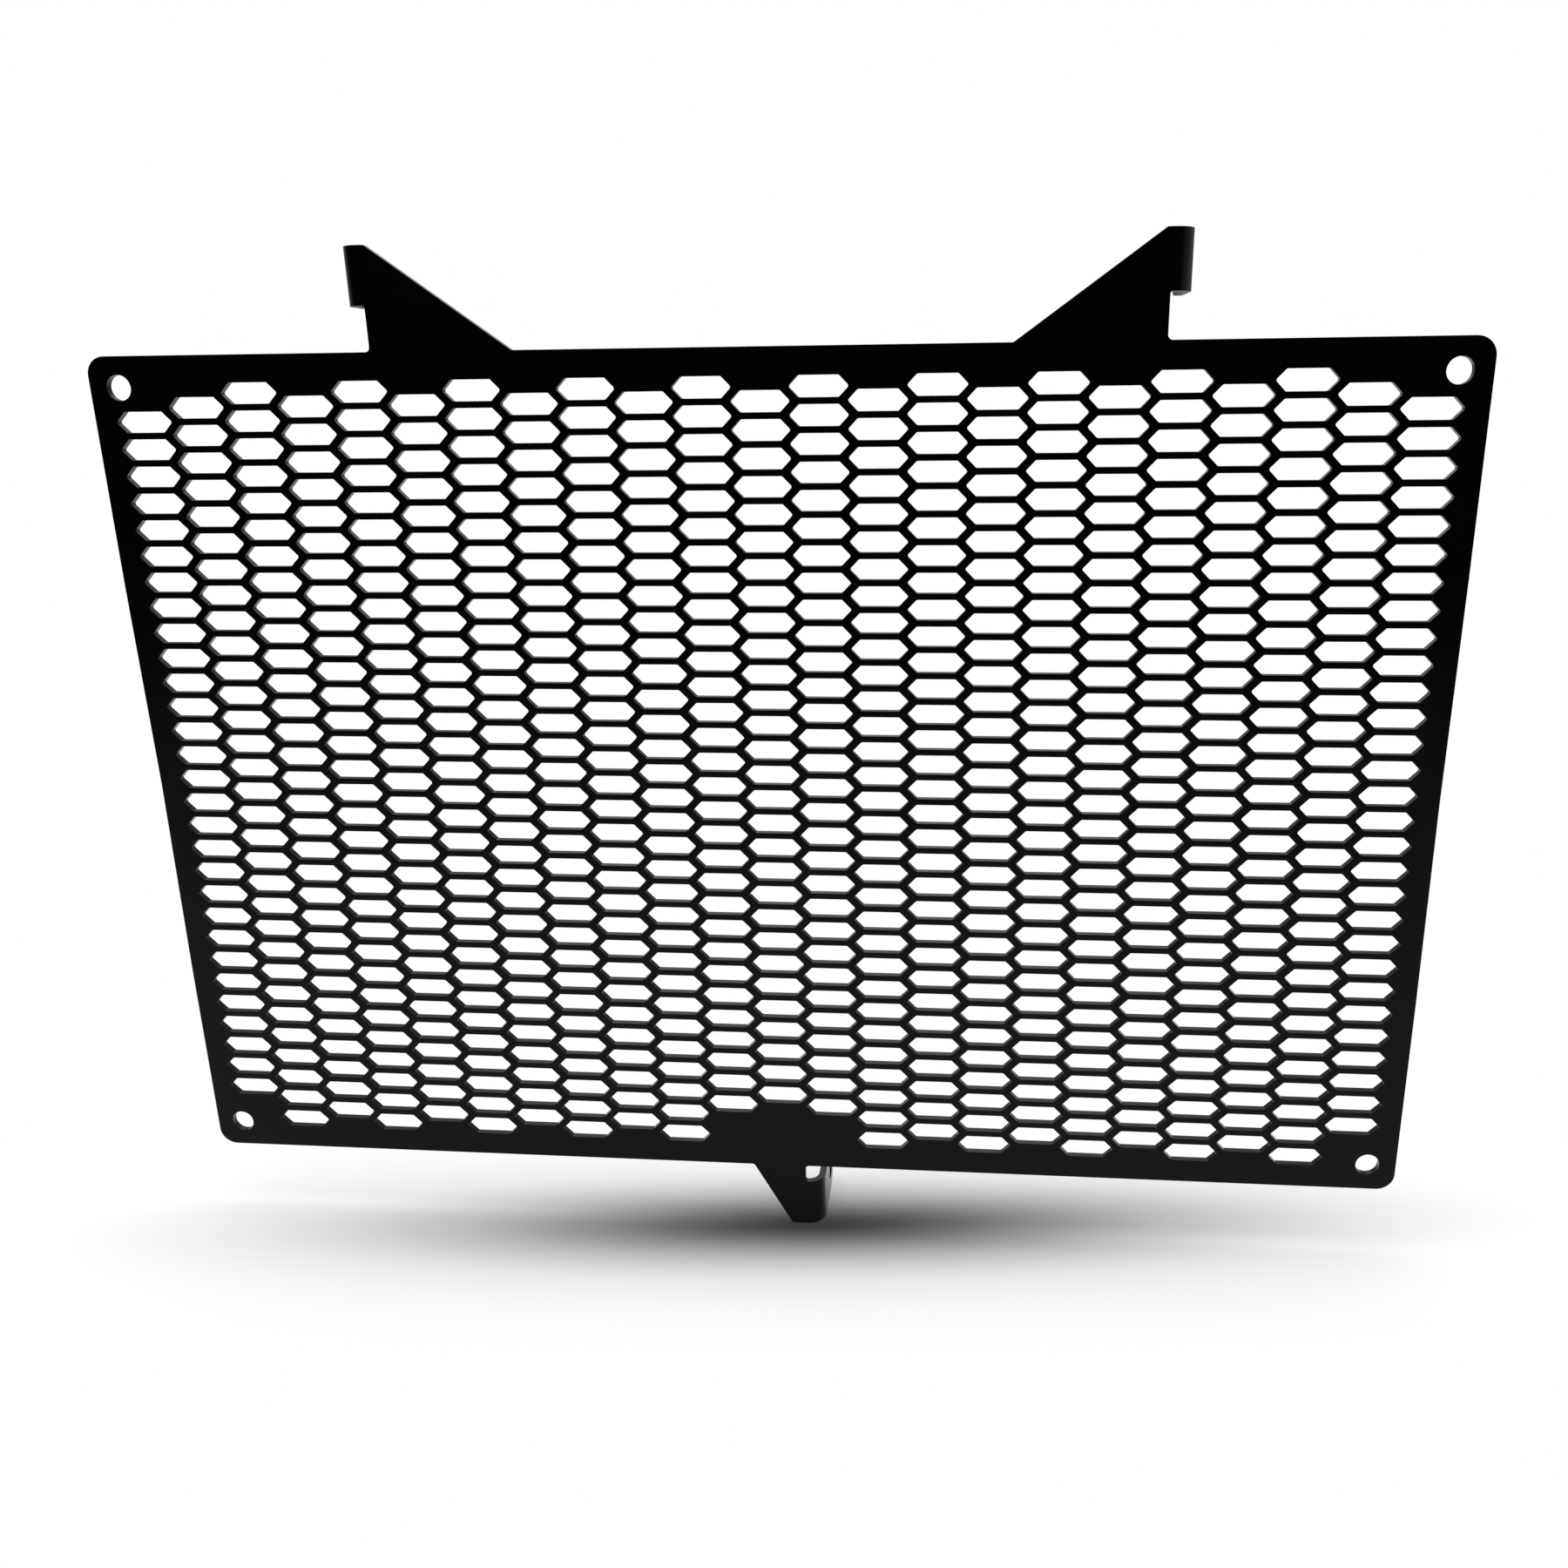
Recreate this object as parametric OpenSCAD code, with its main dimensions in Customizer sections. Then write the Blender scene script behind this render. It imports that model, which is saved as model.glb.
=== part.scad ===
// Radiator guard for a motorcycle, folded from one perforated sheet.
// Frame: the plate stands in the XZ plane with its front towards -Y, its rear face at Y = 0 where
// it is level, and its centre at X = 0, Z = 0. The three flanges fold back towards +Y.

/* [Sheet] */
// Thickness of the sheet
sheet_t = 2; // [1:0.5:3]
// Inside radius of each fold
fold_in_r = 3; // [1:0.5:5]
// How far the bowed plate's middle stands behind its upper and lower parts
bow = 0.8; // [0.2:0.1:3]

/* [Plate] */
// Width of the plate
plate_w = 357; // [280:1:420]
// Height of the plate
plate_h = 236; // [180:1:300]
// Radius of the plate's four corners
corner_r = 5; // [2:0.5:7]
// Diameter of the hole in each corner
corner_hole_d = 6.6; // [4:0.1:8]
// Distance from the plate's edges to the centre of a corner hole
corner_hole_inset = 8; // [7:0.5:10]

/* [Openings] */
// Distance between neighbouring columns of openings
col_pitch = 15; // [12:0.5:20]
// Distance between neighbouring openings of one column
row_pitch = 7.1; // [6:0.1:10]
// Metal left between openings that stand above each other
flat_web = 1.7; // [1.2:0.1:3]
// Metal left between the sloping edges of openings in neighbouring columns
slope_web = 2.1; // [1.2:0.1:3]
// Angle of the sloping edges from the horizontal
slope_angle = 46; // [40:1:60]
// Least plain rim at the left and right of the openings
side_rim = 5; // [4:0.5:12]
// Least plain rim above and below the openings
end_rim = 6.5; // [5:0.5:12]
// Width of the plain area over the bottom tab
plain_w = 40; // [32:1:80]
// Height of the plain area over the bottom tab, from the plate's lower edge
plain_h = 19; // [12:1:40]

/* [Tabs and flanges] */
// Width of each folded flange
flange_w = 14.5; // [12:0.5:18]
// Distance from the plate's rear face to the centre of a flange's bolt hole
flange_hole_y = 16; // [12:0.5:40]
// Diameter of the bolt hole in each flange
flange_hole_d = 6.6; // [4:0.1:8]
// How far the relief cut beside a fold runs past the fold's start
relief_past = 0.6; // [0:0.1:1.5]
// Radius in the inner corners of each relief cut
relief_r = 1.2; // [0.5:0.1:2]
// Distance from the centre line to the fold of a top tab
top_fold_x = 101.5; // [80:0.5:125]
// Height of a top tab over the plate's upper edge
top_tab_h = 25.7; // [22:0.1:40]
// Width of a top tab's level upper edge, up to the fold
top_crest_w = 2; // [1:0.5:10]
// Width of a top tab at the plate, up to the fold
top_foot_w = 38; // [25:0.5:60]
// Distance from the centre line to the fold of the bottom tab
bottom_fold_x = 7; // [0:0.5:15]
// Depth of the bottom tab under the plate's lower edge
bottom_tab_h = 20.1; // [18:0.1:30]
// Width of the bottom tab's level lower edge, up to the fold
bottom_crest_w = 5; // [2:0.5:12]
// Width of the bottom tab at the plate, up to the fold
bottom_foot_w = 16.2; // [12:0.1:30]

/* [Hidden] */
sheet_black = [0.05, 0.05, 0.055];
// Sides in which a full circle is drawn
round_fn = 48;
// Overlap of solids that are joined, and overshoot of cuts
lap = 0.5;
// Size of one opening
open_h = row_pitch - flat_web;
open_w = col_pitch + row_pitch / 2 / tan(slope_angle) - slope_web / sin(slope_angle);
open_flat = open_w - open_h / tan(slope_angle);
// Openings fill the plate inside its rims, an equal count each way from the middle
side_cols = floor((plate_w / 2 - side_rim - open_w / 2) / col_pitch);
side_rows = floor((plate_h / 2 - end_rim - open_h / 2) / row_pitch - 1 / 4);
corner_x = plate_w / 2 - corner_hole_inset;
corner_z = plate_h / 2 - corner_hole_inset;
// The plate is level beyond this height, up to the tabs and down to the tab
level_z = plate_h / 4;

// One six-sided opening, long edges level, with its centre at the origin
module opening() {
    polygon([
        [-open_w / 2, 0], [-open_flat / 2, -open_h / 2], [open_flat / 2, -open_h / 2],
        [open_w / 2, 0], [open_flat / 2, open_h / 2], [-open_flat / 2, open_h / 2]
    ]);
}

// Neighbouring columns stand half a pitch apart in height
function column_shift(c) = (c % 2 == 0 ? -1 : 1) * row_pitch / 4;

// The opening would run into a corner hole, with less than a web left between them
function at_corner(x, z) =
    abs(abs(x) - corner_x) < open_w / 2 + corner_hole_d / 2 + flat_web
    && abs(abs(z) - corner_z) < open_h / 2 + corner_hole_d / 2 + flat_web;

// The opening lies in the plain area over the bottom tab
function in_plain_area(x, z) =
    abs(x) < plain_w / 2 && z < plain_h - plate_h / 2;

module openings() {
    for (c = [-side_cols : side_cols])
        for (r = [-side_rows : side_rows]) {
            x = c * col_pitch;
            z = r * row_pitch + column_shift(c);
            if (!at_corner(x, z) && !in_plain_area(x, z))
                translate([x, z]) opening();
        }
}

// The flat plate's outline, with round corners
module plate_outline() {
    square([plate_w - 2 * corner_r, plate_h], center = true);
    square([plate_w, plate_h - 2 * corner_r], center = true);
    for (sx = [-1, 1], sz = [-1, 1])
        translate([sx * (plate_w / 2 - corner_r), sz * (plate_h / 2 - corner_r)])
            circle(corner_r, $fn = round_fn);
}

module corner_holes() {
    for (sx = [-1, 1], sz = [-1, 1])
        translate([sx * corner_x, sz * corner_z])
            circle(d = corner_hole_d, $fn = round_fn);
}

// A tab's flat part. It rises from y = 0 and its fold starts at x = 0, with the slope on the left.
// The relief cut frees the lowest part of the fold. It rounds into the fold's start above and into
// the plate below.
module tab_outline(tab_h, crest_w, foot_w) {
    relief_h = tab_h - flange_w;
    difference() {
        polygon([[-foot_w, -lap], [-foot_w, 0], [-crest_w, tab_h], [0, tab_h], [0, -lap]]);
        translate([-relief_past, 0]) square([relief_past + lap, relief_h - relief_past]);
        translate([0, relief_h - relief_past]) circle(relief_past, $fn = round_fn);
    }
    difference() {
        translate([-relief_past - lap, -lap]) square([relief_r + lap, relief_r + lap]);
        translate([relief_r - relief_past, relief_r]) circle(relief_r, $fn = round_fn);
    }
}

// The fold and its flange, for a fold that starts at x = 0 and turns back towards +Y.
// The flange's end is a half round about its bolt hole.
module flange(tab_h) {
    mid_z = tab_h - flange_w / 2;
    flange_x = fold_in_r;
    difference() {
        union() {
            translate([0, fold_in_r, tab_h - flange_w])
                rotate([0, 0, -90])
                    rotate_extrude(angle = 90, $fn = round_fn)
                        translate([fold_in_r, 0]) square([sheet_t, flange_w]);
            translate([flange_x, fold_in_r, tab_h - flange_w])
                cube([sheet_t, flange_hole_y - fold_in_r, flange_w]);
            translate([flange_x, flange_hole_y, mid_z])
                rotate([0, 90, 0]) cylinder(d = flange_w, h = sheet_t, $fn = round_fn);
        }
        translate([flange_x - lap, flange_hole_y, mid_z])
            rotate([0, 90, 0]) cylinder(d = flange_hole_d, h = sheet_t + 2 * lap, $fn = round_fn);
    }
}

// The sheet before it is cut, level at its upper and lower parts and bowed back between them
module bowed_sheet() {
    slab_w = plate_w + 2 * lap;
    slab_h = plate_h / 2 + top_tab_h + bottom_tab_h;
    rear = [[0, -slab_h], [0, -level_z], [bow, 0], [0, level_z], [0, slab_h]];
    front = [for (p = rear) p - [sheet_t, 0]];
    rotate([90, 0, 90])
        linear_extrude(slab_w, center = true)
            polygon([for (p = rear) p, for (i = [len(front) - 1 : -1 : 0]) front[i]]);
}

// A drawing in the XZ plane made into a prism that passes right through the sheet
module through_sheet() {
    translate([0, bow + lap, 0])
        rotate([90, 0, 0])
            linear_extrude(sheet_t + bow + 2 * lap)
                children();
}

// Outline of the flat blank, with its plate and the flat part of each tab
module blank_outline() {
    plate_outline();
    for (s = [0, 1])
        mirror([s, 0])
            translate([top_fold_x, plate_h / 2])
                tab_outline(top_tab_h, top_crest_w, top_foot_w);
    mirror([0, 1])
        translate([bottom_fold_x, plate_h / 2])
            tab_outline(bottom_tab_h, bottom_crest_w, bottom_foot_w);
}

module guard_sheet() {
    color(sheet_black) {
        difference() {
            intersection() {
                bowed_sheet();
                through_sheet() blank_outline();
            }
            through_sheet() openings();
            through_sheet() corner_holes();
        }
        for (s = [0, 1])
            mirror([s, 0, 0])
                translate([top_fold_x, 0, plate_h / 2])
                    flange(top_tab_h);
        mirror([0, 0, 1])
            translate([bottom_fold_x, 0, plate_h / 2])
                flange(bottom_tab_h);
    }
}

guard_sheet();
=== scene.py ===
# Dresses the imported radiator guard: rounds its cut edges, powder coats it and stands it in a pale studio.
import math

import bmesh
import bpy
from bpy.props import FloatProperty, FloatVectorProperty, IntProperty, PointerProperty
from mathutils import Matrix, Vector
from mathutils.geometry import delaunay_2d_cdt


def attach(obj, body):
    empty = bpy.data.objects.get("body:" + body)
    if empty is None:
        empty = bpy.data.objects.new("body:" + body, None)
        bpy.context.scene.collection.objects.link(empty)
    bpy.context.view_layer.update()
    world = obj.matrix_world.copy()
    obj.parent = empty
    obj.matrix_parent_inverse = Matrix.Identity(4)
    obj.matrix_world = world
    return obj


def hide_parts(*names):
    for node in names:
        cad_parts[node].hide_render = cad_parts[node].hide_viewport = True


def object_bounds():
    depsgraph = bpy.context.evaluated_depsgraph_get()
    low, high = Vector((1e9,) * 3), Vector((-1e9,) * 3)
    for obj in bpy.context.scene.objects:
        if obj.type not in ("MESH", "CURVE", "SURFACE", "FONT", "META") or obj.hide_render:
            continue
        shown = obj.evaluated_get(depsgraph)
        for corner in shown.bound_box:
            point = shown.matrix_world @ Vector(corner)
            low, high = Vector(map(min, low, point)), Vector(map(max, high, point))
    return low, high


bl_info = {
    "name": "Radiator Guard Finish",
    "version": (1, 0, 0),
    "blender": (4, 5, 0),
    "location": "3D View > Sidebar > Guard",
    "description": "Rounds and powder coats a folded radiator guard and sets it in a pale studio",
    "category": "Object",
}

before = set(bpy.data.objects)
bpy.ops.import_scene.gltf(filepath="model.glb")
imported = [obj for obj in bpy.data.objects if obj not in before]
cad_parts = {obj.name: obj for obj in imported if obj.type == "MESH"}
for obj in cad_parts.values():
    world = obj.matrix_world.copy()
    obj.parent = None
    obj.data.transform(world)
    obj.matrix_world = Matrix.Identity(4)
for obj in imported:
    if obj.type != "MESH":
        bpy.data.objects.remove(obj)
CAD_LOW, CAD_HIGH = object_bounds()

SHEET_NODE = "guard_sheet"
BODY = "root"

# Mesh work: lengths are in metres, angles in radians
WELD = 1e-6
ON_PLANE = 3e-7
NORMAL_DIGITS = 3
DISTANCE_DIGITS = 5
FLAT_ANGLE = math.radians(0.05)
SHARP_ANGLE = math.radians(35)
# Turns of blunt corners and of pointed corners in the outlines
BLUNT_TURNS = (math.radians(20), math.radians(60))
POINTED_TURNS = (math.radians(60), math.radians(120))
# Least share of an edge's direction along Y where it runs through the sheet
THROUGH_COSINE = 0.999
# Most share of a wall's normal along the normal of the face it stands on
WALL_COSINE = 0.5
ROUND_PROFILE = 0.5
# Faces with more sides than this are split into triangles
QUAD_SIDES = 4
# Triangulation works in millimetres, and its output type 1 keeps the triangles inside the outlines
MILLIMETRES = 1000
INSIDE_OUTLINES = 1
TRIANGULATION_MERGE = 1e-6

# Colour sockets of the Mix node
MIX_A = 6
MIX_B = 7
MIX_RESULT = 2

# Powder coat: the grain's share of the height, the patches' width in ripples, and where they show
GRAIN_SHARE = 0.22
PATCH_RIPPLES = 12.0
THIN_SPOTS = (0.35, 0.68)
# Pointiness from which an edge counts as thinly coated, and where it fully does
EDGE_POINTINESS = (0.52, 0.62)
ROUGHNESS_SPREAD = 0.06
COAT_IOR = 1.42
BUMP_STRENGTH = 0.5

# Floor: how far it runs from the middle, and how much it glows by itself
FLOOR_REACH = 6.0
FLOOR_LIFT = 0.66
# Middle of the painted shade under the sheet, and how deep the painted shade is in reflections
PAINTED_SHADE_MIDDLE = (0.010, -0.002, 0.0)
MIRRORED_DEPTH = 0.8
# Half length and half width of the area that shows the lamp's shadow and the painted shade, and where in it
# the floor turns white
SHADOW_REACH = (0.55, 0.055)
SHADOW_FADE = (0.3, 1.0)
# The floor as the sheet mirrors it, along Y: dim in front of the sheet, light under it, dim far behind
FRONT_START = (-0.03, 0.015)
FRONT_FADE = (-0.85, -0.04)
FRONT_LEVEL = 0.3
BACK_FADE = (0.3, 1.5)
HORIZON_LEVEL = 0.3

# World as the sheet mirrors it, along the axes of a unit direction
BEHIND_FADE = (-0.1, 0.4)
ABOVE_FADE = (0.05, 0.45)
MIDDLE_X = -0.08
MIDDLE_FADE = (0.12, 0.42)
OUTER_LEVEL = 0.15
# The side light's middle, and the cosines of the angles from it where it starts and where it is full
SIDE_DIRECTION = Vector((1.0, -0.1, 0.1)).normalized()
SIDE_FADE = (math.cos(math.radians(38)), math.cos(math.radians(4)))
SIDE_LEVEL = 0.23
# Strength of the world on rough surfaces
FILL_LEVEL = 0.25

BLACK = (0.0, 0.0, 0.0, 1.0)
PHOTO_WIDTH = 1800
SENSOR_WIDTH = 36.0
CAMERA_CLIP = (0.01, 100.0)


class GuardCoatSettings(bpy.types.PropertyGroup):
    """Sizes and colours of the coated sheet."""

    edge_radius: FloatProperty(
        name="Edge Radius",
        description="How far the powder coat rounds each laser-cut edge",
        default=0.0001,
        min=0.00005,
        max=0.0004,
        precision=5,
        unit="LENGTH",
    )
    edge_segments: IntProperty(
        name="Edge Segments",
        description="Faces across each rounded edge",
        default=2,
        min=1,
        max=3,
    )
    corner_radius: FloatProperty(
        name="Corner Radius",
        description="Radius that the laser leaves in each sharp corner of an opening or outline",
        default=0.0005,
        min=0.0001,
        max=0.0006,
        precision=5,
        unit="LENGTH",
    )
    corner_segments: IntProperty(
        name="Corner Segments",
        description="Faces around each rounded corner",
        default=2,
        min=1,
        max=3,
    )
    coat_color: FloatVectorProperty(
        name="Coat Colour",
        description="Colour of the satin black powder coat",
        subtype="COLOR",
        size=3,
        min=0.0,
        max=1.0,
        default=(0.0025, 0.0025, 0.0026),
    )
    thin_color: FloatVectorProperty(
        name="Thin Coat Colour",
        description="Slightly greyer colour where the coat is thin, along the cut edges",
        subtype="COLOR",
        size=3,
        min=0.0,
        max=1.0,
        default=(0.009, 0.009, 0.0092),
    )
    roughness: FloatProperty(
        name="Roughness",
        description="Mean roughness of the satin coat",
        default=0.24,
        min=0.0,
        max=1.0,
    )
    grain_size: FloatProperty(
        name="Grain Size",
        description="Width of the powder coat's finest bumps",
        default=0.00035,
        min=0.0001,
        max=0.002,
        precision=5,
        unit="LENGTH",
    )
    ripple_size: FloatProperty(
        name="Ripple Size",
        description="Width of the powder coat's soft orange-peel ripples",
        default=0.0022,
        min=0.0005,
        max=0.01,
        precision=5,
        unit="LENGTH",
    )
    coat_depth: FloatProperty(
        name="Coat Depth",
        description="Height of the coat's bumps",
        default=0.00002,
        min=0.0,
        max=0.0002,
        precision=6,
        unit="LENGTH",
    )


class GuardStudioSettings(bpy.types.PropertyGroup):
    """The camera, the lamp and the floor."""

    camera_place: FloatVectorProperty(
        name="Camera Place",
        description="Where the camera stands, from the middle of the plate",
        subtype="TRANSLATION",
        unit="LENGTH",
        default=(0.0525, -0.3267, 0.1069),
    )
    pitch: FloatProperty(
        name="Pitch",
        description="How far the camera looks down",
        subtype="ANGLE",
        default=math.radians(16.179),
    )
    heading: FloatProperty(
        name="Heading",
        description="How far the camera turns to the left of straight ahead",
        subtype="ANGLE",
        default=math.radians(5.057),
    )
    roll: FloatProperty(
        name="Roll",
        description="How far the camera leans to the right",
        subtype="ANGLE",
        default=math.radians(0.708),
    )
    focal_pixels: FloatProperty(
        name="Focal Length in Pixels",
        description="Focal length in pixels of the 1800 pixel wide photograph",
        default=1431.5,
    )
    axis_x: FloatProperty(
        name="Axis Across",
        description="Pixel column of the photograph that the lens axis meets",
        default=983.8,
    )
    axis_y: FloatProperty(
        name="Axis Down",
        description="Pixel row of the photograph that the lens axis meets",
        default=863.8,
    )
    floor_gap: FloatProperty(
        name="Floor Gap",
        description="Height of the lowest tab over the floor",
        default=0.0004,
        min=0.0,
        max=0.02,
        precision=5,
        unit="LENGTH",
    )
    floor_color: FloatVectorProperty(
        name="Floor Colour",
        description="Colour of the pale floor",
        subtype="COLOR",
        size=3,
        min=0.0,
        max=1.0,
        default=(0.8, 0.8, 0.8),
    )
    lamp_place: FloatVectorProperty(
        name="Lamp Place",
        description="Where the soft lamp hangs, from the middle of the plate",
        subtype="TRANSLATION",
        unit="LENGTH",
        default=(0.0, 0.02, 0.75),
    )
    lamp_power: FloatProperty(
        name="Lamp Power",
        description="Power of the large soft lamp overhead",
        unit="POWER",
        default=2.8,
        min=0.0,
    )
    lamp_length: FloatProperty(
        name="Lamp Length",
        description="Length of the soft lamp overhead, along the sheet",
        unit="LENGTH",
        default=0.9,
        min=0.01,
    )
    lamp_width: FloatProperty(
        name="Lamp Width",
        description="Width of the soft lamp overhead, across the sheet",
        unit="LENGTH",
        default=0.5,
        min=0.01,
    )
    # The painted shade under the sheet: a soft dark patch painted into the floor's colour, not cast by the
    # lamp
    painted_shade_length: FloatProperty(
        name="Shade Length",
        description="How far the soft shade under the sheet runs to its left and right",
        unit="LENGTH",
        default=0.128,
        min=0.01,
    )
    painted_shade_width: FloatProperty(
        name="Shade Width",
        description="How far the soft shade under the sheet runs to its front and back",
        unit="LENGTH",
        default=0.0185,
        min=0.005,
    )
    painted_shade_turn: FloatProperty(
        name="Shade Turn",
        description="How far the soft shade is turned to the left, seen from above",
        subtype="ANGLE",
        default=math.radians(4.4),
    )
    painted_shade_depth: FloatProperty(
        name="Shade Depth",
        description="How much of the floor's light the shade takes away right under the sheet",
        subtype="FACTOR",
        default=0.95,
        min=0.0,
        max=1.0,
    )


class NodeSheet:
    """A node tree with short ways to add nodes and join them."""

    def __init__(self, tree):
        self.tree = tree

    def add(self, kind, **values):
        """A new node with the given properties."""
        node = self.tree.nodes.new(kind)
        for name, value in values.items():
            setattr(node, name, value)
        return node

    def join(self, source, target):
        self.tree.links.new(source, target)

    def feed(self, value, socket):
        """Joins the socket to another one, or gives it a plain value."""
        if isinstance(value, bpy.types.NodeSocket):
            self.join(value, socket)
        elif value is not None:
            socket.default_value = value

    def calc(self, operation, first, second=None, third=None, clamp=False):
        node = self.add("ShaderNodeMath", operation=operation, use_clamp=clamp)
        for value, socket in zip((first, second, third), node.inputs):
            self.feed(value, socket)
        return node.outputs[0]

    def dot(self, first, second):
        node = self.add("ShaderNodeVectorMath", operation="DOT_PRODUCT")
        self.feed(first, node.inputs[0])
        self.feed(second, node.inputs[1])
        return node.outputs["Value"]

    def ramp(self, value, low, high):
        """0 below low and 1 above high, with a smooth step between."""
        node = self.add("ShaderNodeMapRange", interpolation_type="SMOOTHSTEP")
        self.feed(value, node.inputs["Value"])
        node.inputs["From Min"].default_value = low
        node.inputs["From Max"].default_value = high
        return node.outputs["Result"]

    def mix(self, factor, first, second):
        """The first colour where the factor is 0, and the second where it is 1."""
        node = self.add("ShaderNodeMix", data_type="RGBA")
        self.feed(factor, node.inputs["Factor"])
        self.feed(first, node.inputs[MIX_A])
        self.feed(second, node.inputs[MIX_B])
        return node.outputs[MIX_RESULT]

    def blend(self, factor, first, second):
        """The first shader where the factor is 0, and the second where it is 1."""
        node = self.add("ShaderNodeMixShader")
        for source, socket in zip((factor, first, second), node.inputs):
            self.join(source, socket)
        return node.outputs[0]

    def glow(self, strength):
        """A white light of the given strength."""
        node = self.add("ShaderNodeEmission")
        self.feed(strength, node.inputs["Strength"])
        return node.outputs[0]

    def seen_directly(self, paths):
        """1 for the camera's own rays, also through glass, and 0 for all others."""
        return self.calc("MAXIMUM", paths["Is Camera Ray"], paths["Is Transmission Ray"])


def new_material(name):
    """A material with an empty node tree."""
    material = bpy.data.materials.new(name)
    material.use_nodes = True
    material.node_tree.nodes.clear()
    return material, NodeSheet(material.node_tree)


def link(thing):
    """Puts an object in the scene."""
    bpy.context.scene.collection.objects.link(thing)
    return thing


def turn_of(edge):
    """Angle between the two faces at an edge, or 0 at an open edge."""
    return edge.calc_face_angle(0.0) if edge.is_manifold else 0.0


def runs_through(edge):
    """The edge runs straight through the sheet's thickness, at a corner of an outline."""
    start, end = (vert.co for vert in edge.verts)
    return abs((end - start).normalized().y) > THROUGH_COSINE


def verts_of(faces):
    """The faces' vertices, each once and in a fixed order."""
    return dict.fromkeys(vert for face in faces for vert in face.verts)


def sides_of(triangle):
    """The three pairs of vertices that a triangle's sides join."""
    return [frozenset((triangle[i], triangle[i - 1])) for i in range(3)]


def open_flat_faces(work):
    """Takes away the flat faces with holes and the edges that bridge to them, and gives their planes."""
    bridges = [e for e in work.edges if e.is_manifold and turn_of(e) < FLAT_ANGLE]
    faces = list(dict.fromkeys(f for e in bridges for f in e.link_faces))
    # The largest face of a plane comes last, and its place is the one that is kept
    faces.sort(key=lambda face: face.calc_area())
    planes = {}
    for face in faces:
        distance = face.normal.dot(face.verts[0].co)
        tilt = tuple(round(value, NORMAL_DIGITS) for value in face.normal)
        planes[tilt, round(distance, DISTANCE_DIGITS)] = (face.normal.copy(), distance)
    bmesh.ops.delete(work, geom=faces, context="FACES_ONLY")
    bmesh.ops.delete(work, geom=bridges, context="EDGES")
    return planes.values()


def open_edges_on(work, normal, distance):
    """Edges with no face on one side at least, and with both ends on the plane."""
    return [
        edge
        for edge in work.edges
        if len(edge.link_faces) < 2
        and all(abs(normal.dot(vert.co) - distance) < ON_PLANE for vert in edge.verts)
    ]


def fill_plane(work, normal, distance):
    """Fills the open outlines that lie on one plane with even triangles, and leaves their holes open."""
    edges = open_edges_on(work, normal, distance)
    if not edges:
        return []
    verts = list(dict.fromkeys(vert for edge in edges for vert in edge.verts))
    order = {vert: i for i, vert in enumerate(verts)}
    across = normal.orthogonal().normalized()
    up = normal.cross(across)
    flat = [Vector((across.dot(vert.co), up.dot(vert.co))) * MILLIMETRES for vert in verts]
    joins = [tuple(order[vert] for vert in edge.verts) for edge in edges]
    _, _, cells, sources, _, _ = delaunay_2d_cdt(flat, joins, [], INSIDE_OUTLINES, TRIANGULATION_MERGE)
    triangles = [[verts[sources[i][0]] for i in cell] for cell in cells]
    return [work.faces.new(triangle) for triangle in on_metal(triangles, edges, normal)]


def on_metal(triangles, edges, normal):
    """The triangles that lie on the metal's side of the walls that stand around them."""
    beside = {}
    for number, triangle in enumerate(triangles):
        for side in sides_of(triangle):
            beside.setdefault(side, []).append(number)
    kept = set()
    for edge in edges:
        for wall in edge.link_faces:
            for number in beside.get(frozenset(edge.verts), []):
                corners = triangles[number]
                middle = sum((vert.co for vert in corners), Vector()) / len(corners)
                behind_wall = wall.normal.dot(middle - edge.verts[0].co) < 0
                if behind_wall and abs(wall.normal.dot(normal)) < WALL_COSINE:
                    kept.add(number)
    outlines = {frozenset(edge.verts) for edge in edges}
    open_ends = list(kept)
    while open_ends:
        for side in sides_of(triangles[open_ends.pop()]):
            for number in beside[side]:
                if side not in outlines and number not in kept:
                    kept.add(number)
                    open_ends.append(number)
    return [triangles[number] for number in sorted(kept)]


def whole_skins(seeds):
    """The sheet's front and rear skins: the filled faces with the bends and flanges they run on into."""
    skins = dict.fromkeys(seeds)
    open_ends = list(seeds)
    while open_ends:
        face = open_ends.pop()
        for edge in face.edges:
            for other in edge.link_faces:
                if other not in skins and turn_of(edge) < SHARP_ANGLE:
                    skins[other] = None
                    open_ends.append(other)
    return list(skins)


def soften_cut_edges(work, skins, radius, segments):
    """A quarter round along every cut edge: the skins shrink, and the rings around them drop."""
    rings = []
    reached = 0.0
    for step in range(segments):
        next_reach = radius * (1 - math.cos(math.pi / 2 * (step + 1) / segments))
        inset = bmesh.ops.inset_region(
            work,
            faces=skins,
            thickness=next_reach - reached,
            use_boundary=True,
            use_even_offset=True,
        )
        rings.append(inset["faces"])
        reached = next_reach
    work.normal_update()
    coated = {face for ring in rings for face in ring}.union(skins)
    moves = []
    for step, ring in enumerate(rings):
        drop = radius * (1 - math.sin(math.pi / 2 * step / segments))
        inner = verts_of(rings[step + 1] if step + 1 < segments else skins)
        for vert in verts_of(ring):
            if vert not in inner:
                normals = [face.normal * face.calc_area() for face in vert.link_faces if face in coated]
                moves.append((vert, sum(normals, Vector()).normalized() * drop))
    for vert, move in moves:
        vert.co -= move


def round_corners(work, turns, radius, segments):
    """Rounds each corner of an outline whose turn lies between the two given."""
    low, high = turns
    corners = [edge for edge in work.edges if low < turn_of(edge) <= high and runs_through(edge)]
    mean_turn = sum(turn_of(edge) for edge in corners) / len(corners)
    bmesh.ops.bevel(
        work,
        geom=corners,
        offset=radius * math.tan(mean_turn / 2),
        offset_type="OFFSET",
        segments=segments,
        profile=ROUND_PROFILE,
        affect="EDGES",
        clamp_overlap=False,
    )


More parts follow.
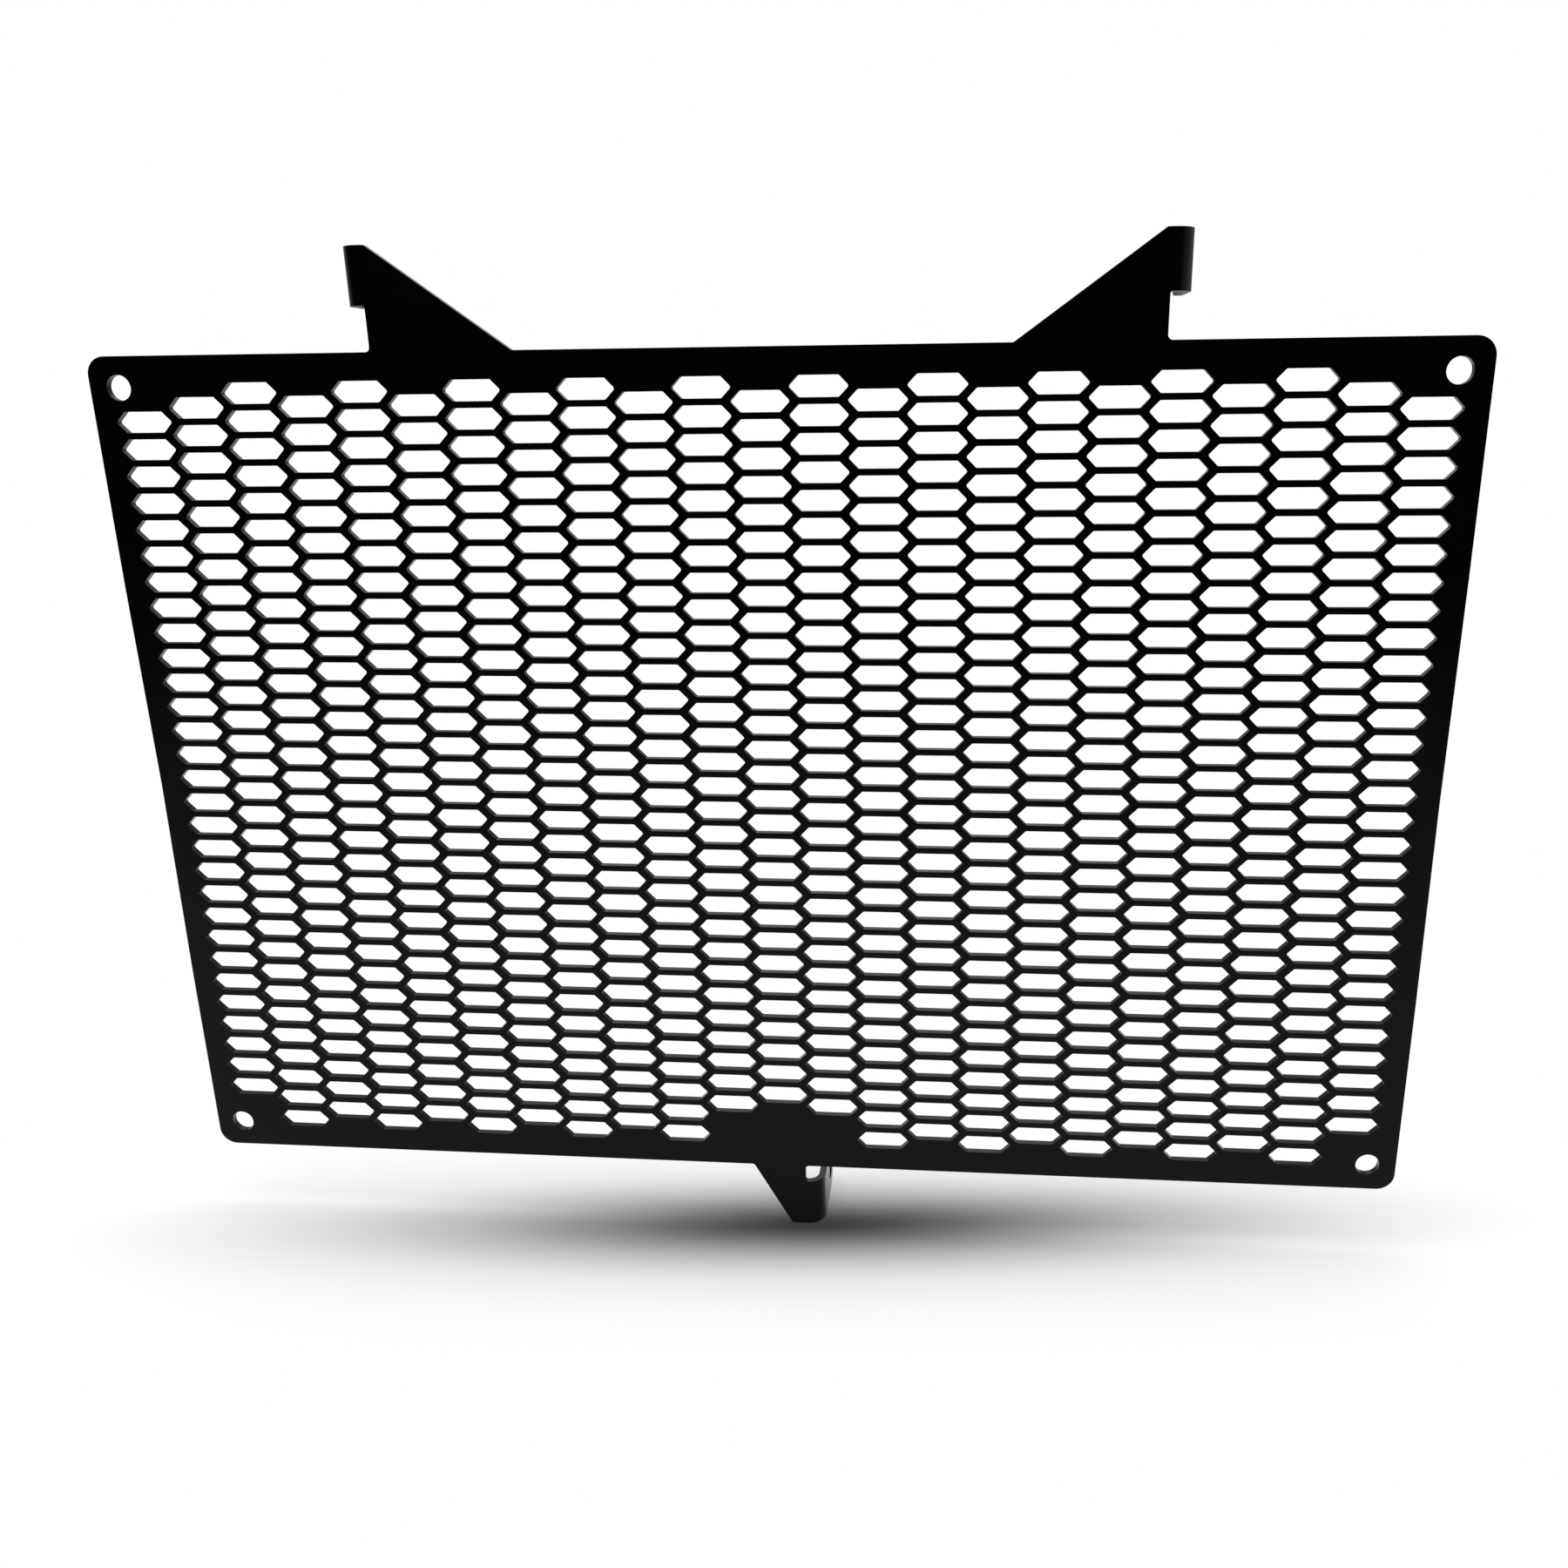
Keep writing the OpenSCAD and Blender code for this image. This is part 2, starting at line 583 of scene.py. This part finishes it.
def sort_by_place(work):
    """Gives the mesh one fixed order, since bevels and filled planes come in a different one each run."""
    for parts, place in (
        (work.verts, lambda vert: tuple(vert.co)),
        (work.edges, lambda edge: sorted(vert.index for vert in edge.verts)),
        (work.faces, lambda face: sorted(vert.index for vert in face.verts)),
    ):
        rank = {part: i for i, part in enumerate(sorted(parts, key=place))}
        parts.sort(key=rank.get)
        parts.index_update()


def rounded_copy(node, settings):
    """The node's mesh with its outlines' sharp corners rounded and every cut edge softened."""
    work = bmesh.new()
    work.from_mesh(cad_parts[node].data)
    bmesh.ops.remove_doubles(work, verts=work.verts, dist=WELD)
    bmesh.ops.dissolve_limit(
        work,
        angle_limit=FLAT_ANGLE,
        verts=work.verts,
        edges=work.edges,
        use_dissolve_boundaries=False,
    )
    planes = open_flat_faces(work)
    for turns in (BLUNT_TURNS, POINTED_TURNS):
        round_corners(work, turns, settings.corner_radius, settings.corner_segments)
    work.normal_update()
    seeds = [face for plane in planes for face in fill_plane(work, *plane)]
    work.normal_update()
    soften_cut_edges(work, whole_skins(seeds), settings.edge_radius, settings.edge_segments)
    bmesh.ops.triangulate(work, faces=[face for face in work.faces if len(face.verts) > QUAD_SIDES])
    for face in work.faces:
        face.smooth = True
    sort_by_place(work)
    mesh = bpy.data.meshes.new(node + "_coated")
    work.to_mesh(mesh)
    work.free()
    return mesh


def powder_grain_group():
    """Height of a powder coat: soft ripples with fine grain on them, and a mask of the thinner spots."""
    group = bpy.data.node_groups.new("Powder Grain", "ShaderNodeTree")
    for way, names in (("INPUT", ("Grain Size", "Ripple Size")), ("OUTPUT", ("Height", "Unevenness"))):
        for name in names:
            group.interface.new_socket(name, in_out=way, socket_type="NodeSocketFloat")
    sheet = NodeSheet(group)
    given = sheet.add("NodeGroupInput").outputs
    result = sheet.add("NodeGroupOutput").inputs
    place = sheet.add("ShaderNodeTexCoord").outputs["Object"]

    def noise(size, detail, roughness):
        node = sheet.add("ShaderNodeTexNoise", noise_dimensions="3D")
        sheet.join(place, node.inputs["Vector"])
        sheet.join(sheet.calc("DIVIDE", 1.0, size), node.inputs["Scale"])
        node.inputs["Detail"].default_value = detail
        node.inputs["Roughness"].default_value = roughness
        return node.outputs["Fac"]

    ripples = noise(given["Ripple Size"], detail=1.0, roughness=0.4)
    grain = noise(given["Grain Size"], detail=2.0, roughness=0.5)
    sheet.join(sheet.calc("MULTIPLY_ADD", grain, GRAIN_SHARE, ripples), result["Height"])
    patch_size = sheet.calc("MULTIPLY", given["Ripple Size"], PATCH_RIPPLES)
    patches = noise(patch_size, detail=3.0, roughness=0.55)
    sheet.join(sheet.ramp(patches, *THIN_SPOTS), result["Unevenness"])
    return group


def coat_material(settings, grain):
    """Satin black powder coat, uneven in its gloss, and a little greyer in patches along the edges."""
    material, sheet = new_material("Satin Black Powder Coat")
    bumps = sheet.add("ShaderNodeGroup")
    bumps.node_tree = grain
    bumps.inputs["Grain Size"].default_value = settings.grain_size
    bumps.inputs["Ripple Size"].default_value = settings.ripple_size
    unevenness = bumps.outputs["Unevenness"]

    pointed = sheet.add("ShaderNodeNewGeometry").outputs["Pointiness"]
    thin = sheet.calc("MULTIPLY", sheet.ramp(pointed, *EDGE_POINTINESS), unevenness)
    color = sheet.mix(thin, (*settings.coat_color, 1.0), (*settings.thin_color, 1.0))
    least = settings.roughness - ROUGHNESS_SPREAD / 2
    rough = sheet.calc("MULTIPLY_ADD", unevenness, ROUGHNESS_SPREAD, least)
    bump = sheet.add("ShaderNodeBump")
    bump.inputs["Strength"].default_value = BUMP_STRENGTH
    bump.inputs["Distance"].default_value = settings.coat_depth
    sheet.join(bumps.outputs["Height"], bump.inputs["Height"])

    shader = sheet.add("ShaderNodeBsdfPrincipled")
    shader.inputs["IOR"].default_value = COAT_IOR
    sheet.join(color, shader.inputs["Base Color"])
    sheet.join(rough, shader.inputs["Roughness"])
    sheet.join(bump.outputs["Normal"], shader.inputs["Normal"])
    output = sheet.add("ShaderNodeOutputMaterial")
    sheet.join(shader.outputs["BSDF"], output.inputs["Surface"])
    return material


def floor_material(settings):
    """A pale floor that takes the lamp's shadow of the sheet and a painted shade under it, and is plain
    white to the camera further out.
    """
    material, sheet = new_material("Pale Studio Floor")
    place = sheet.add("ShaderNodeTexCoord").outputs["Object"]
    split = sheet.add("ShaderNodeSeparateXYZ")
    sheet.join(place, split.inputs[0])
    backwards = split.outputs["Y"]
    paths = sheet.add("ShaderNodeLightPath").outputs

    def spread(length, width):
        """Square of the distance from the painted shade's middle, measured in its own length and width."""
        own = sheet.add("ShaderNodeMapping", vector_type="TEXTURE")
        sheet.join(place, own.inputs["Vector"])
        own.inputs["Location"].default_value = PAINTED_SHADE_MIDDLE
        own.inputs["Rotation"].default_value = (0.0, 0.0, settings.painted_shade_turn)
        own.inputs["Scale"].default_value = (length, width, 1.0)
        return sheet.dot(own.outputs[0], own.outputs[0])

    # What the painted shade under the sheet leaves of the light, a little more in reflections: a soft dark
    # patch painted into the floor, not cast by the lamp
    painted_shade_distance = spread(settings.painted_shade_length, settings.painted_shade_width)
    shade = sheet.calc("EXPONENT", sheet.calc("MULTIPLY", painted_shade_distance, -1.0))
    change = MIRRORED_DEPTH - settings.painted_shade_depth
    depth = sheet.calc("MULTIPLY_ADD", paths["Is Glossy Ray"], change, settings.painted_shade_depth)
    left_by_painted_shade = sheet.calc("SUBTRACT", 1.0, sheet.calc("MULTIPLY", shade, depth))

    # What the camera sees
    diffuse = sheet.add("ShaderNodeBsdfDiffuse")
    # The painted shade darkens the floor's colour and its glow
    sheet.join(sheet.mix(left_by_painted_shade, BLACK, (*settings.floor_color, 1.0)), diffuse.inputs["Color"])
    near = sheet.add("ShaderNodeAddShader")
    sheet.join(diffuse.outputs[0], near.inputs[0])
    sheet.join(sheet.glow(sheet.calc("MULTIPLY", left_by_painted_shade, FLOOR_LIFT)), near.inputs[1])
    far = sheet.ramp(spread(*SHADOW_REACH), *SHADOW_FADE)
    seen = sheet.blend(far, near.outputs[0], sheet.glow(1.0))

    # What the sheet mirrors
    front_level = sheet.calc("MULTIPLY", sheet.ramp(backwards, *FRONT_FADE), FRONT_LEVEL)
    # The painted shade darkens the floor in reflections too
    front = sheet.glow(sheet.calc("MULTIPLY", front_level, left_by_painted_shade))
    back = sheet.blend(sheet.ramp(backwards, *BACK_FADE), seen, sheet.glow(HORIZON_LEVEL))
    mirrored = sheet.blend(sheet.ramp(backwards, *FRONT_START), front, back)

    indirect = sheet.blend(paths["Is Glossy Ray"], diffuse.outputs[0], mirrored)
    surface = sheet.blend(sheet.seen_directly(paths), indirect, seen)
    output = sheet.add("ShaderNodeOutputMaterial")
    sheet.join(surface, output.inputs["Surface"])
    return material


def studio_world():
    """White to the camera. The sheet mirrors a light sky behind it, a side light and a dim room."""
    world = bpy.data.worlds.new("Studio World")
    world.use_nodes = True
    world.node_tree.nodes.clear()
    sheet = NodeSheet(world.node_tree)
    direction = sheet.add("ShaderNodeTexCoord").outputs["Generated"]
    split = sheet.add("ShaderNodeSeparateXYZ")
    sheet.join(direction, split.inputs[0])
    paths = sheet.add("ShaderNodeLightPath").outputs

    # The sky behind the sheet, lighter above the horizon and towards its middle
    behind = sheet.ramp(split.outputs["Y"], *BEHIND_FADE)
    above = sheet.ramp(split.outputs["Z"], *ABOVE_FADE)
    off_middle = sheet.calc("ABSOLUTE", sheet.calc("SUBTRACT", split.outputs["X"], MIDDLE_X))
    middle = sheet.calc("MULTIPLY_ADD", sheet.ramp(off_middle, *MIDDLE_FADE), OUTER_LEVEL - 1.0, 1.0)
    sky = sheet.calc("MULTIPLY", above, middle)
    sky = sheet.calc("MULTIPLY_ADD", sky, 1.0 - HORIZON_LEVEL, HORIZON_LEVEL)

    # A soft light at the right
    aside = sheet.dot(direction, SIDE_DIRECTION)
    side = sheet.calc("MULTIPLY", sheet.ramp(aside, *SIDE_FADE), SIDE_LEVEL)

    level = sheet.calc("MULTIPLY_ADD", behind, sky, side)
    reflected = sheet.calc("MULTIPLY", paths["Is Glossy Ray"], level)
    fill = sheet.calc("MULTIPLY", paths["Is Diffuse Ray"], FILL_LEVEL)
    indirect = sheet.calc("ADD", fill, reflected)
    strength = sheet.calc("ADD", indirect, sheet.seen_directly(paths), clamp=True)
    background = sheet.add("ShaderNodeBackground")
    background.inputs["Color"].default_value = (1.0, 1.0, 1.0, 1.0)
    sheet.join(strength, background.inputs["Strength"])
    output = sheet.add("ShaderNodeOutputWorld")
    sheet.join(background.outputs[0], output.inputs["Surface"])
    bpy.context.scene.world = world


def studio_floor(settings):
    """A wide floor just under the lowest tab."""
    mesh = bpy.data.meshes.new("floor")
    corners = [(x * FLOOR_REACH, y * FLOOR_REACH, 0) for x, y in ((-1, -1), (1, -1), (1, 1), (-1, 1))]
    mesh.from_pydata(corners, [], [(0, 1, 2, 3)])
    mesh.materials.append(floor_material(settings))
    floor = link(bpy.data.objects.new("floor", mesh))
    floor.location.z = CAD_LOW.z - settings.floor_gap


def overhead_lamp(settings):
    """A large soft lamp that shines straight down."""
    light = bpy.data.lights.new("overhead_lamp", "AREA")
    light.shape = "RECTANGLE"
    light.size = settings.lamp_length
    light.size_y = settings.lamp_width
    light.energy = settings.lamp_power
    lamp = link(bpy.data.objects.new("overhead_lamp", light))
    lamp.location = settings.lamp_place


def photo_camera(settings):
    """A camera that looks along the photograph's own direction, with its lens axis off the middle."""
    lens = bpy.data.cameras.new("Photo Camera")
    lens.sensor_fit = "HORIZONTAL"
    lens.sensor_width = SENSOR_WIDTH
    lens.lens = settings.focal_pixels / PHOTO_WIDTH * SENSOR_WIDTH
    middle = (PHOTO_WIDTH - 1) / 2
    lens.shift_x = (middle - settings.axis_x) / PHOTO_WIDTH
    lens.shift_y = (settings.axis_y - middle) / PHOTO_WIDTH
    lens.clip_start, lens.clip_end = CAMERA_CLIP
    camera = link(bpy.data.objects.new("Photo Camera", lens))
    turn = Matrix.Rotation(settings.heading, 4, "Z")
    tilt = Matrix.Rotation(math.pi / 2 - settings.pitch, 4, "X")
    lean = Matrix.Rotation(-settings.roll, 4, "Z")
    camera.matrix_world = Matrix.Translation(settings.camera_place) @ turn @ tilt @ lean
    bpy.context.scene.camera = camera


class GUARD_OT_coat_sheet(bpy.types.Operator):
    """Round the sheet's cut edges and powder coat it"""

    bl_idname = "guard.coat_sheet"
    bl_label = "Coat Guard Sheet"

    def execute(self, context):
        settings = context.scene.guard_coat
        mesh = rounded_copy(SHEET_NODE, settings)
        mesh.materials.append(coat_material(settings, powder_grain_group()))
        coated = link(bpy.data.objects.new("guard_sheet_coated", mesh))
        weighted = coated.modifiers.new("Flat Faces", "WEIGHTED_NORMAL")
        weighted.keep_sharp = True
        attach(coated, BODY)
        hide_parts(SHEET_NODE)
        return {"FINISHED"}


class GUARD_OT_build_studio(bpy.types.Operator):
    """Set the floor, the lamp, the world and the camera"""

    bl_idname = "guard.build_studio"
    bl_label = "Build Studio"

    def execute(self, context):
        settings = context.scene.guard_studio
        studio_floor(settings)
        overhead_lamp(settings)
        studio_world()
        photo_camera(settings)
        context.scene.view_settings.view_transform = "Standard"
        return {"FINISHED"}


class GUARD_PT_finish(bpy.types.Panel):
    """Lists the guard's finish and studio steps"""

    bl_idname = "GUARD_PT_finish"
    bl_label = "Radiator Guard"
    bl_space_type = "VIEW_3D"
    bl_region_type = "UI"
    bl_category = "Guard"

    def draw(self, context):
        layout = self.layout
        for operator, settings in (
            (GUARD_OT_coat_sheet, context.scene.guard_coat),
            (GUARD_OT_build_studio, context.scene.guard_studio),
        ):
            box = layout.box()
            box.operator(operator.bl_idname)
            for name in settings.bl_rna.properties.keys():
                if name not in {"rna_type", "name"}:
                    box.prop(settings, name)


CLASSES = (
    GuardCoatSettings,
    GuardStudioSettings,
    GUARD_OT_coat_sheet,
    GUARD_OT_build_studio,
    GUARD_PT_finish,
)


def register():
    for cls in CLASSES:
        bpy.utils.register_class(cls)
    bpy.types.Scene.guard_coat = PointerProperty(type=GuardCoatSettings)
    bpy.types.Scene.guard_studio = PointerProperty(type=GuardStudioSettings)


def unregister():
    del bpy.types.Scene.guard_studio
    del bpy.types.Scene.guard_coat
    for cls in reversed(CLASSES):
        bpy.utils.unregister_class(cls)


def main():
    register()
    bpy.ops.guard.build_studio()
    bpy.ops.guard.coat_sheet()


if __name__ == "__main__":
    main()
